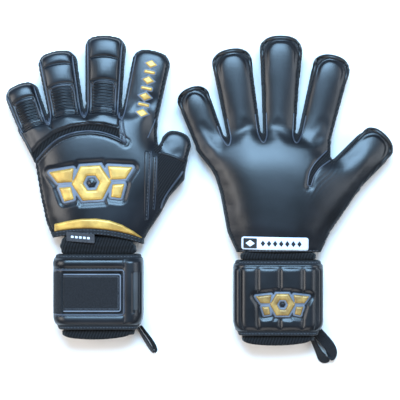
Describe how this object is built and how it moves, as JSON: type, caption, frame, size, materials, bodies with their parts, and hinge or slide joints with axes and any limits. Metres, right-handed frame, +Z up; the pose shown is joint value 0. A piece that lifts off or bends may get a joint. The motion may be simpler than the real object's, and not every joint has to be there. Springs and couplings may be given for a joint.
{
  "type": "goalkeeper gloves",
  "caption": "Pair of padded goalkeeper gloves lying flat, one back up and one palm up, with flexing fingers, wrist straps and pull loops.",
  "frame": {"origin": "on the resting surface, under the middle of the pair's box", "axes": "+Y towards the fingertips, +X from the left glove to the right one and towards the thumbs, +Z up"},
  "size_m": [0.3856, 0.3278, 0.043],
  "materials": {
    "palm_foam": "matt black latex foam",
    "back_latex": "satin embossed black latex",
    "strap_latex": "padded satin latex",
    "knit": "elastic rib knit",
    "mesh_fabric": "stretch mesh",
    "hook_fabric": "woven hook tape",
    "loop_fabric": "brushed loop pile",
    "webbing": "woven webbing",
    "gold_print": "raised matt gold print",
    "woven_label": "woven label",
    "soft_label": "pale moulded label"
  },
  "bodies": {
    "left_hand": {"left_palm_latex": "palm_foam", "left_back_panel": "back_latex", "left_knuckle_panel": "back_latex", "left_thumb_gusset": "mesh_fabric", "left_back_emblem": "gold_print", "left_trim_bar": "gold_print", "left_label_tab": "woven_label", "left_palm_label": "soft_label"},
    "left_cuff": {"left_wrist_strap": "strap_latex", "left_bandage": "knit", "left_loop_field": "loop_fabric", "left_strap_emblem": "gold_print"},
    "left_tab": {"left_hook_tab": "hook_fabric"},
    "left_loop": {"left_pull_loop": "webbing"},
    "left_pinky": {"left_pinky_palm": "palm_foam", "left_pinky_back": "back_latex"},
    "left_pinky_end": {"left_pinky_tip": "palm_foam"},
    "left_ring": {"left_ring_palm": "palm_foam", "left_ring_back": "back_latex"},
    "left_ring_end": {"left_ring_tip": "palm_foam"},
    "left_middle": {"left_middle_palm": "palm_foam", "left_middle_back": "back_latex"},
    "left_middle_end": {"left_middle_tip": "palm_foam"},
    "left_index": {"left_index_palm": "palm_foam", "left_index_back": "back_latex"},
    "left_index_end": {"left_index_tip": "palm_foam"},
    "left_thumb": {"left_thumb_palm": "palm_foam", "left_thumb_back": "back_latex"},
    "right_hand": {"right_palm_latex": "palm_foam", "right_back_panel": "back_latex", "right_knuckle_panel": "back_latex", "right_thumb_gusset": "mesh_fabric", "right_back_emblem": "gold_print", "right_trim_bar": "gold_print", "right_label_tab": "woven_label", "right_palm_label": "soft_label"},
    "right_cuff": {"right_wrist_strap": "strap_latex", "right_bandage": "knit", "right_loop_field": "loop_fabric", "right_strap_emblem": "gold_print"},
    "right_tab": {"right_hook_tab": "hook_fabric"},
    "right_loop": {"right_pull_loop": "webbing"},
    "right_pinky": {"right_pinky_palm": "palm_foam", "right_pinky_back": "back_latex"},
    "right_pinky_end": {"right_pinky_tip": "palm_foam"},
    "right_ring": {"right_ring_palm": "palm_foam", "right_ring_back": "back_latex"},
    "right_ring_end": {"right_ring_tip": "palm_foam"},
    "right_middle": {"right_middle_palm": "palm_foam", "right_middle_back": "back_latex"},
    "right_middle_end": {"right_middle_tip": "palm_foam"},
    "right_index": {"right_index_palm": "palm_foam", "right_index_back": "back_latex"},
    "right_index_end": {"right_index_tip": "palm_foam"},
    "right_thumb": {"right_thumb_palm": "palm_foam", "right_thumb_back": "back_latex"}
  },
  "joints": [
    {"name": "left_pinky_flex", "type": "hinge", "parent": "left_hand", "child": "left_pinky", "pos_m": [-0.16526, 0.07116, 0.014], "axis": [-0.9361, -0.3518, 0], "range_deg": [0, 40], "stiffness_Nm_per_rad": 0.1},
    {"name": "left_pinky_end_flex", "type": "hinge", "parent": "left_pinky", "child": "left_pinky_end", "pos_m": [-0.1737, 0.09363, 0.014], "axis": [-0.9361, -0.3518, 0], "range_deg": [0, 40], "stiffness_Nm_per_rad": 0.05},
    {"name": "left_ring_flex", "type": "hinge", "parent": "left_hand", "child": "left_ring", "pos_m": [-0.13306, 0.08216, 0.014], "axis": [-0.9848, -0.1736, 0], "range_deg": [0, 40], "stiffness_Nm_per_rad": 0.1},
    {"name": "left_ring_end_flex", "type": "hinge", "parent": "left_ring", "child": "left_ring_end", "pos_m": [-0.13931, 0.11762, 0.014], "axis": [-0.9848, -0.1736, 0], "range_deg": [0, 40], "stiffness_Nm_per_rad": 0.05},
    {"name": "left_middle_flex", "type": "hinge", "parent": "left_hand", "child": "left_middle", "pos_m": [-0.09686, 0.08476, 0.014], "axis": [-0.9997, 0.0262, 0], "range_deg": [0, 40], "stiffness_Nm_per_rad": 0.1},
    {"name": "left_middle_end_flex", "type": "hinge", "parent": "left_middle", "child": "left_middle_end", "pos_m": [-0.09586, 0.12275, 0.014], "axis": [-0.9997, 0.0262, 0], "range_deg": [0, 40], "stiffness_Nm_per_rad": 0.05},
    {"name": "left_index_flex", "type": "hinge", "parent": "left_hand", "child": "left_index", "pos_m": [-0.06176, 0.07716, 0.014], "axis": [-0.9792, 0.2028, 0], "range_deg": [0, 40], "stiffness_Nm_per_rad": 0.1},
    {"name": "left_index_end_flex", "type": "hinge", "parent": "left_index", "child": "left_index_end", "pos_m": [-0.05426, 0.1134, 0.014], "axis": [-0.9792, 0.2028, 0], "range_deg": [0, 40], "stiffness_Nm_per_rad": 0.05},
    {"name": "left_thumb_flex", "type": "hinge", "parent": "left_hand", "child": "left_thumb", "pos_m": [-0.02926, 0.04116, 0.014], "axis": [-0.9511, 0.309, 0], "range_deg": [0, 40], "stiffness_Nm_per_rad": 0.1},
    {"name": "left_wrist_flex", "type": "hinge", "parent": "left_hand", "child": "left_cuff", "pos_m": [-0.10126, -0.04634, 0.021], "axis": [1, 0, 0], "range_deg": [-20, 20], "stiffness_Nm_per_rad": 0.4},
    {"name": "left_tab_peel", "type": "hinge", "parent": "left_cuff", "child": "left_tab", "pos_m": [-0.13526, -0.09134, 0.042], "axis": [0, -1, 0], "range_deg": [0, 150]},
    {"name": "left_loop_swing", "type": "hinge", "parent": "left_cuff", "child": "left_loop", "pos_m": [-0.05776, -0.13344, 0.0055], "axis": [0, 0, 1], "range_deg": [-35, 35], "stiffness_Nm_per_rad": 0.01},
    {"name": "right_pinky_flex", "type": "hinge", "parent": "right_hand", "child": "right_pinky", "pos_m": [0.01094, 0.05366, 0.014], "axis": [0.9336, 0.3584, 0], "range_deg": [0, 40], "stiffness_Nm_per_rad": 0.1},
    {"name": "right_pinky_end_flex", "type": "hinge", "parent": "right_pinky", "child": "right_pinky_end", "pos_m": [-0.00053, 0.08354, 0.014], "axis": [0.9336, 0.3584, 0], "range_deg": [0, 40], "stiffness_Nm_per_rad": 0.05},
    {"name": "right_ring_flex", "type": "hinge", "parent": "right_hand", "child": "right_ring", "pos_m": [0.04414, 0.05916, 0.014], "axis": [0.9863, 0.165, 0], "range_deg": [0, 40], "stiffness_Nm_per_rad": 0.1},
    {"name": "right_ring_end_flex", "type": "hinge", "parent": "right_ring", "child": "right_ring_end", "pos_m": [0.03655, 0.10453, 0.014], "axis": [0.9863, 0.165, 0], "range_deg": [0, 40], "stiffness_Nm_per_rad": 0.05},
    {"name": "right_middle_flex", "type": "hinge", "parent": "right_hand", "child": "right_middle", "pos_m": [0.07834, 0.05916, 0.014], "axis": [0.9998, -0.0175, 0], "range_deg": [0, 40], "stiffness_Nm_per_rad": 0.1},
    {"name": "right_middle_end_flex", "type": "hinge", "parent": "right_middle", "child": "right_middle_end", "pos_m": [0.07925, 0.11116, 0.014], "axis": [0.9998, -0.0175, 0], "range_deg": [0, 40], "stiffness_Nm_per_rad": 0.05},
    {"name": "right_index_flex", "type": "hinge", "parent": "right_hand", "child": "right_index", "pos_m": [0.11234, 0.05816, 0.014], "axis": [0.972, -0.2351, 0], "range_deg": [0, 40], "stiffness_Nm_per_rad": 0.1},
    {"name": "right_index_end_flex", "type": "hinge", "parent": "right_index", "child": "right_index_end", "pos_m": [0.12269, 0.10093, 0.014], "axis": [0.972, -0.2351, 0], "range_deg": [0, 40], "stiffness_Nm_per_rad": 0.05},
    {"name": "right_thumb_flex", "type": "hinge", "parent": "right_hand", "child": "right_thumb", "pos_m": [0.14174, 0.02216, 0.014], "axis": [0.7071, -0.7071, 0], "range_deg": [0, 40], "stiffness_Nm_per_rad": 0.1},
    {"name": "right_wrist_flex", "type": "hinge", "parent": "right_hand", "child": "right_cuff", "pos_m": [0.07674, -0.05584, 0.021], "axis": [1, 0, 0], "range_deg": [-20, 20], "stiffness_Nm_per_rad": 0.4},
    {"name": "right_tab_peel", "type": "hinge", "parent": "right_cuff", "child": "right_tab", "pos_m": [0.04274, -0.09734, 0], "axis": [0, 1, 0], "range_deg": [0, 150]},
    {"name": "right_loop_swing", "type": "hinge", "parent": "right_cuff", "child": "right_loop", "pos_m": [0.11974, -0.14284, 0.0055], "axis": [-0.8192, -0.5736, 0], "range_deg": [0, 60]},
    {"name": "right_glove_lift", "type": "slide", "parent": "left_hand", "child": "right_hand", "axis": [0, 0, 1], "range_m": [0, 0.25]}
  ],
  "couplings": [
    {"joint": "left_pinky_end_flex", "follows": "left_pinky_flex", "ratio": 1},
    {"joint": "left_ring_end_flex", "follows": "left_ring_flex", "ratio": 1},
    {"joint": "left_middle_end_flex", "follows": "left_middle_flex", "ratio": 1},
    {"joint": "left_index_end_flex", "follows": "left_index_flex", "ratio": 1},
    {"joint": "right_pinky_end_flex", "follows": "right_pinky_flex", "ratio": 1},
    {"joint": "right_ring_end_flex", "follows": "right_ring_flex", "ratio": 1},
    {"joint": "right_middle_end_flex", "follows": "right_middle_flex", "ratio": 1},
    {"joint": "right_index_end_flex", "follows": "right_index_flex", "ratio": 1}
  ]
}
